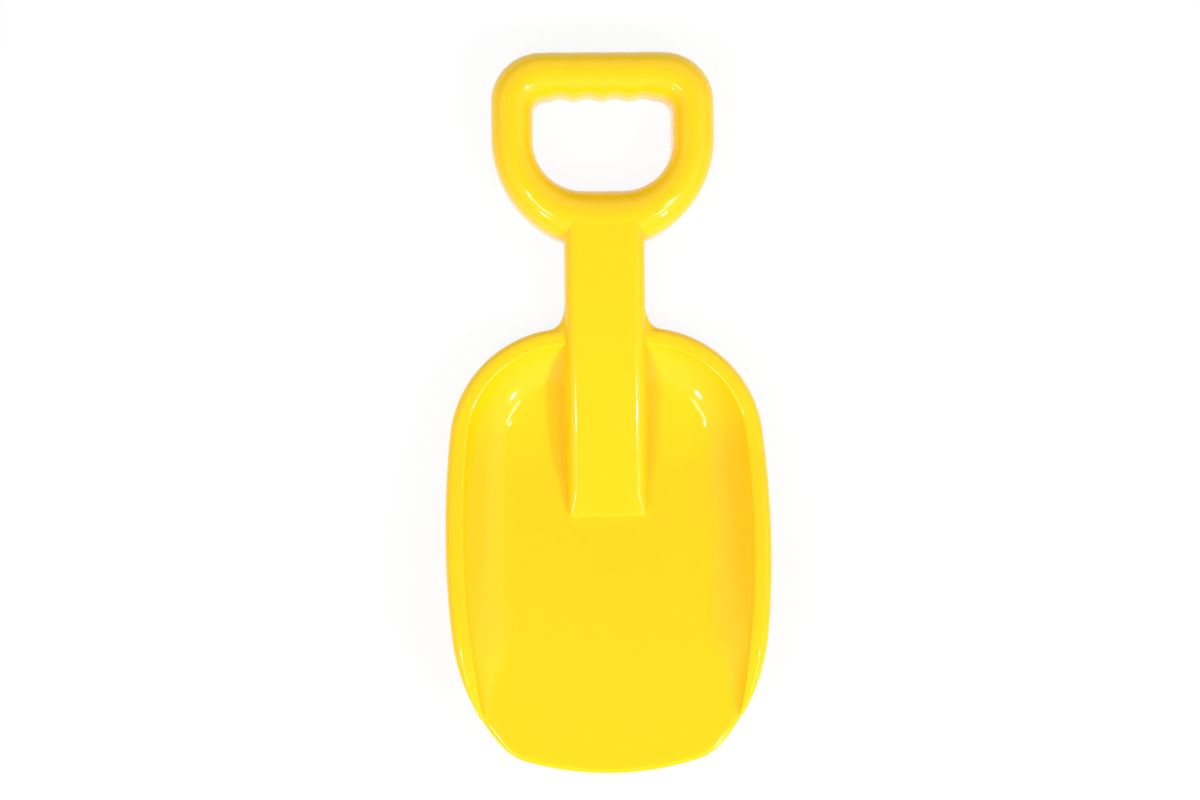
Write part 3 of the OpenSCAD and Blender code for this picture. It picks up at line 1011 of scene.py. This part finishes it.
    def rows(self) -> np.ndarray:
        """Closed sections of the right half, from the shaft's side round to the tip.

        Returns:
            One row of points per section.
        """
        neck = self.neck()
        sections = []
        for arc, turns in self.stations(neck):
            upper, below = self.section(arc.plan(turns[0], 0)[1])
            points = [self.placed(arc, turn, p) for turn, p in zip(turns, upper + below)]
            sections.append((points[:len(upper)], points[len(upper):]))
        corner_y = self.shaft.end_y + self.shaft.end_corner
        first = next(i for i, s in enumerate(sections) if s[0][-1][1] < corner_y)
        rows = []
        for i, (top, bottom) in enumerate(sections):
            foot = top[-1][:2]
            if i < first:
                slot = np.array([self.shaft.side_x(foot[1], self.floor.top_z(foot[1])), foot[1]])
            else:
                slot = self.slot_path((i - first + 1) / (len(sections) - first))
            fade = smooth_step(i, 0, self.fade_rows)
            fade *= 1 - self.end_fillet_cut * smooth_step(i, first, first + self.end_fade_rows)
            floor_top, floor_bottom = self.floor_line(foot, slot, self.shaft_fillet * fade)
            rows.append(np.array(list(top) + floor_top + floor_bottom + list(bottom)))
        return np.array(self.neck_rows(neck, rows[0]) + rows)

    def floor_line(self, foot: np.ndarray, slot: np.ndarray,
                   fillet: float) -> tuple[list[np.ndarray], list[np.ndarray]]:
        """Floor from the foot of the wall to the shaft, with a small fillet up the shaft's side.

        Args:
            foot: Plan point at the foot of the wall.
            slot: Plan point at the shaft.
            fillet: Radius of the fillet.

        Returns:
            Points of the upper skin towards the shaft, and of the lower skin back to the wall.
        """
        reach = float(np.linalg.norm(foot - slot))
        away = (foot - slot) / reach if reach > self.least_reach else np.array([1.0, 0.0])
        radius = min(fillet, reach)
        start = slot + away * radius
        upper, lower = [], []
        for t in np.linspace(0, 1, self.floor_steps + 1)[1:]:
            plan = foot + (start - foot) * t
            upper.append(np.array([*plan, self.floor.top_z(plan[1])]))
        base = np.array([*slot, self.floor.top_z(slot[1])])
        tangent = np.array([*start, self.floor.top_z(start[1])])
        raised = base + np.array([*(-away * radius * self.mould.draft), radius])
        for t in np.linspace(0, 1, self.fillet_steps + 1)[1:]:
            upper.append(bowed(tangent, base, raised, t))
        seat = slot - away * self.slot_inset
        upper.append(np.array([*seat, raised[2]]))
        lower.append(np.array([*seat, self.floor.foot_z(seat[1])]))
        for t in np.linspace(1, 0, self.floor_steps + 1)[:-1]:
            plan = foot + (slot - foot) * t
            lower.append(np.array([*plan, self.floor.foot_z(plan[1])]))
        return upper, lower

    def neck_rows(self, neck: Neck, row: np.ndarray) -> list[np.ndarray]:
        """Rows that curl the rim and the wall up against the shaft's side.

        Args:
            neck: Meeting line and fillets.
            row: First row beside the shaft.

        Returns:
            The rows from the shaft's side to the first row.
        """
        rows = []
        for t in np.linspace(1, 0, self.fillet_steps + 1)[:-1]:
            curled = row.copy()
            for k, (joint, way, radius) in enumerate(zip(neck.joint, neck.out, neck.radii)):
                small = min(radius, self.shaft_fillet)
                forward = max(way[1], 0) ** self.shaft_flare_power
                raised = joint + way * small
                raised[1] += (self.flare_along_shaft - self.shaft_fillet) * forward
                raised[0] = self.shaft.side_x(raised[1], raised[2]) - self.slot_inset * t ** self.inset_power
                curled[k] = bowed(row[k], joint, raised, t)
            rows.append(curled)
        return rows

    def build(self) -> bpy.types.Object:
        """Model the right half as one loft and mirror it.

        Returns:
            The finished scoop.
        """
        piece = Modeller.lofted_grid("scoop", self.rows(), False)
        Modeller.mirrored(piece)
        Modeller.closed_and_smoothed(piece)
        return piece


@dataclass(frozen=True)
class Lamp:
    """Lamp of the studio, aimed at the shovel. One that isn't mirrored gives light but no highlight."""

    name: str
    place: tuple[float, float, float]
    size: tuple[float, float]
    power: float
    mirrored: bool = True

    def build(self, target: Vector) -> bpy.types.Object:
        """Add the lamp.

        Args:
            target: Point that the lamp is turned towards.

        Returns:
            The new lamp.
        """
        bpy.ops.object.light_add(type="AREA", location=self.place)
        lamp = bpy.context.object
        lamp.name = self.name
        lamp.data.shape = "RECTANGLE"
        lamp.data.size, lamp.data.size_y = self.size
        lamp.data.energy = self.power
        lamp.visible_glossy = self.mirrored
        lamp.rotation_euler = (target - Vector(self.place)).to_track_quat("-Z", "Y").to_euler()
        return lamp


@dataclass
class Studio:
    """Plain pale floor, soft light and a camera straight above, with sizes in metres."""

    target: tuple[float, float, float] = (-0.0025, 0.003, 0.0)
    distance: float = 0.85
    lean: float = math.radians(2.0)
    turn: float = math.radians(-0.71)
    scale_px: float = 2127.0
    image_width: float = 1200.0
    sensor: float = 36.0
    clip_start: float = 0.01
    floor_half: float = 6.0
    floor_colour: Colour = (0.86, 0.86, 0.86, 1.0)
    floor_roughness: float = 0.8
    floor_glow: float = 0.9
    sky_level: float = 0.80
    sky_lean: tuple[float, float, float] = (0.12, -0.05, 0.0)
    horizon_share: float = 0.48
    horizon_heights: tuple[float, float] = (0.20, 0.55)
    zenith_share: float = 0.5
    zenith_heights: tuple[float, float] = (0.78, 0.93)
    lamps: tuple[Lamp, ...] = (
        Lamp("key_lamp", (1.02, -0.95, 1.05), (0.15, 0.15), 10.4, mirrored=False),
        Lamp("fill_lamp", (-0.90, -0.95, 1.14), (0.15, 0.15), 6.1, mirrored=False),
        Lamp("right_spot", (0.60, -0.56, 0.62), (0.07, 0.07), 0.8),
        Lamp("left_spot", (-0.53, -0.56, 0.67), (0.07, 0.07), 0.8),
        Lamp("right_box", (0.48, -0.29, 0.90), (0.28, 0.14), 0.9),
        Lamp("left_box", (-0.42, -0.29, 0.92), (0.28, 0.14), 0.9),
        Lamp("right_strip", (0.36, -0.10, 0.93), (0.03, 0.05), 0.5),
        Lamp("left_strip", (-0.40, -0.10, 0.93), (0.03, 0.05), 0.5),
    )

    def camera(self) -> bpy.types.Object:
        """Add the camera that takes the whole shovel from above.

        Returns:
            The new camera.
        """
        place = Vector(self.target) + self.distance * Vector((-math.sin(self.lean), 0, math.cos(self.lean)))
        bpy.ops.object.camera_add(location=place)
        camera = bpy.context.object
        camera.name = "camera"
        camera.data.sensor_width = self.sensor
        camera.data.lens = self.sensor * self.distance * self.scale_px / self.image_width
        camera.data.clip_start = self.clip_start
        tilt = Matrix.Rotation(-self.lean, 3, "Y")
        spin = Matrix.Rotation(self.turn, 3, "Z")
        camera.rotation_euler = (tilt @ spin).to_euler()
        bpy.context.scene.camera = camera
        return camera

    def floor(self) -> bpy.types.Object:
        """Add the pale floor, which looks white and keeps the shovel's shadow.

        Returns:
            The new floor.
        """
        Modeller.clear_selection()
        bpy.ops.mesh.primitive_plane_add(size=2 * self.floor_half)
        floor = bpy.context.object
        floor.name = "floor"
        material = bpy.data.materials.new("pale_floor")
        material.use_nodes = True
        tree = material.node_tree
        shader = tree.nodes["Principled BSDF"]
        shader.inputs["Base Color"].default_value = self.floor_colour
        shader.inputs["Roughness"].default_value = self.floor_roughness
        shader.inputs["Specular IOR Level"].default_value = 0.0
        glow = tree.nodes.new("ShaderNodeEmission")
        mix = tree.nodes.new("ShaderNodeMixShader")
        path = tree.nodes.new("ShaderNodeLightPath")
        seen = path.outputs["Is Camera Ray"]
        for ray in ("Is Glossy Ray", "Is Transmission Ray"):
            seen = self.joined(tree, seen, path.outputs[ray], Joining.GREATER)
        tree.links.new(self.joined(tree, seen, self.floor_glow, Joining.PRODUCT), mix.inputs["Fac"])
        tree.links.new(shader.outputs["BSDF"], mix.inputs[1])
        tree.links.new(glow.outputs["Emission"], mix.inputs[2])
        tree.links.new(mix.outputs["Shader"], tree.nodes["Material Output"].inputs["Surface"])
        floor.data.materials.append(material)
        return floor

    def sky(self) -> None:
        """Light the world like a studio's pale walls, dimmer at the horizon and straight above.

        The camera itself sees plain white.
        """
        world = bpy.context.scene.world or bpy.data.worlds.new("studio")
        bpy.context.scene.world = world
        world.use_nodes = True
        tree = world.node_tree
        sky = tree.nodes["Background"]
        sky.inputs["Color"].default_value = WHITE
        way = tree.nodes.new("ShaderNodeTexCoord").outputs["Generated"]
        height = tree.nodes.new("ShaderNodeSeparateXYZ")
        tree.links.new(way, height.inputs["Vector"])
        lean = tree.nodes.new("ShaderNodeVectorMath")
        lean.operation = "DOT_PRODUCT"
        lean.inputs[1].default_value = self.sky_lean
        tree.links.new(way, lean.inputs[0])
        walls = self.eased(tree, height.outputs["Z"], self.horizon_heights, (self.horizon_share, 1.0))
        above = self.eased(tree, height.outputs["Z"], self.zenith_heights, (1.0, self.zenith_share))
        levels = (0.0, 2.0 * self.sky_level)
        light = self.eased(tree, lean.outputs["Value"], (-1.0, 1.0), levels, Easing.LINEAR)
        for part in (walls, above):
            light = self.joined(tree, light, part, Joining.PRODUCT)
        seen = tree.nodes.new("ShaderNodeMapRange")
        tree.links.new(tree.nodes.new("ShaderNodeLightPath").outputs["Is Camera Ray"], seen.inputs["Value"])
        tree.links.new(light, seen.inputs["To Min"])
        tree.links.new(seen.outputs["Result"], sky.inputs["Strength"])

    @staticmethod
    def joined(tree: bpy.types.NodeTree, first: bpy.types.NodeSocket, second: bpy.types.NodeSocket | float,
               kind: Joining) -> bpy.types.NodeSocket:
        """Make one value of two.

        Args:
            tree: Node tree to add to.
            first: First value.
            second: Second value, or a plain number.
            kind: Way in which the values are joined.

        Returns:
            The joined value.
        """
        node = tree.nodes.new("ShaderNodeMath")
        node.operation = kind.value
        tree.links.new(first, node.inputs[0])
        if isinstance(second, float):
            node.inputs[1].default_value = second
        else:
            tree.links.new(second, node.inputs[1])
        return node.outputs[0]

    @staticmethod
    def eased(tree: bpy.types.NodeTree, value: bpy.types.NodeSocket, heights: tuple[float, float],
              levels: tuple[float, float], kind: Easing = Easing.SMOOTH) -> bpy.types.NodeSocket:
        """Ease from one level to another while a value grows.

        Args:
            tree: Node tree of the world.
            value: Value to read.
            heights: Values where the change starts and ends.
            levels: Levels before and after the change.
            kind: Way in which the level changes.

        Returns:
            The level.
        """
        node = tree.nodes.new("ShaderNodeMapRange")
        node.interpolation_type = kind.value
        node.inputs["From Min"].default_value, node.inputs["From Max"].default_value = heights
        node.inputs["To Min"].default_value, node.inputs["To Max"].default_value = levels
        tree.links.new(value, node.inputs["Value"])
        return node.outputs["Result"]

    def build(self) -> None:
        """Set up the floor, the world, the lamps and the camera."""
        bpy.context.scene.view_settings.view_transform = "Standard"
        self.sky()
        self.floor()
        for lamp in self.lamps:
            lamp.build(Vector(self.target))
        self.camera()


def dressed(piece: bpy.types.Object, material: bpy.types.Material, nodes: tuple[str, ...]) -> None:
    """Give a piece its finish and its place in the frame.

    Args:
        piece: New piece.
        material: Finish of the piece.
        nodes: Solids that the piece stands for.
    """
    piece.data.materials.clear()
    piece.data.materials.append(material)
    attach(piece, Body.ROOT.value)
    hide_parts(*nodes)
    LOG.info("%s: %d faces, stands for %s", piece.name, len(piece.data.polygons), ", ".join(nodes))


def main() -> None:
    """Build the shovel's pieces and its studio."""
    logging.basicConfig(level=logging.INFO, format="%(message)s")
    plastic = MouldedPlastic().material()
    ring = RingGrip()
    floor = FloorLine()
    shaft = Shaft(ring, floor)
    dressed(Scoop(shaft, floor).build(), plastic, ("pan", "left_rim", "right_rim"))
    dressed(shaft.build(), plastic, ("shaft",))
    dressed(ring.build(), plastic, ("grip_yoke", "finger_bar"))
    for name in ("shaft_ribs", "grip_ribs"):
        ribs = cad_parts[name]
        ribs.data.materials.clear()
        ribs.data.materials.append(plastic)
        LOG.info("%s: keeps its solid", name)
    Studio().build()


if __name__ == "__main__":
    main()
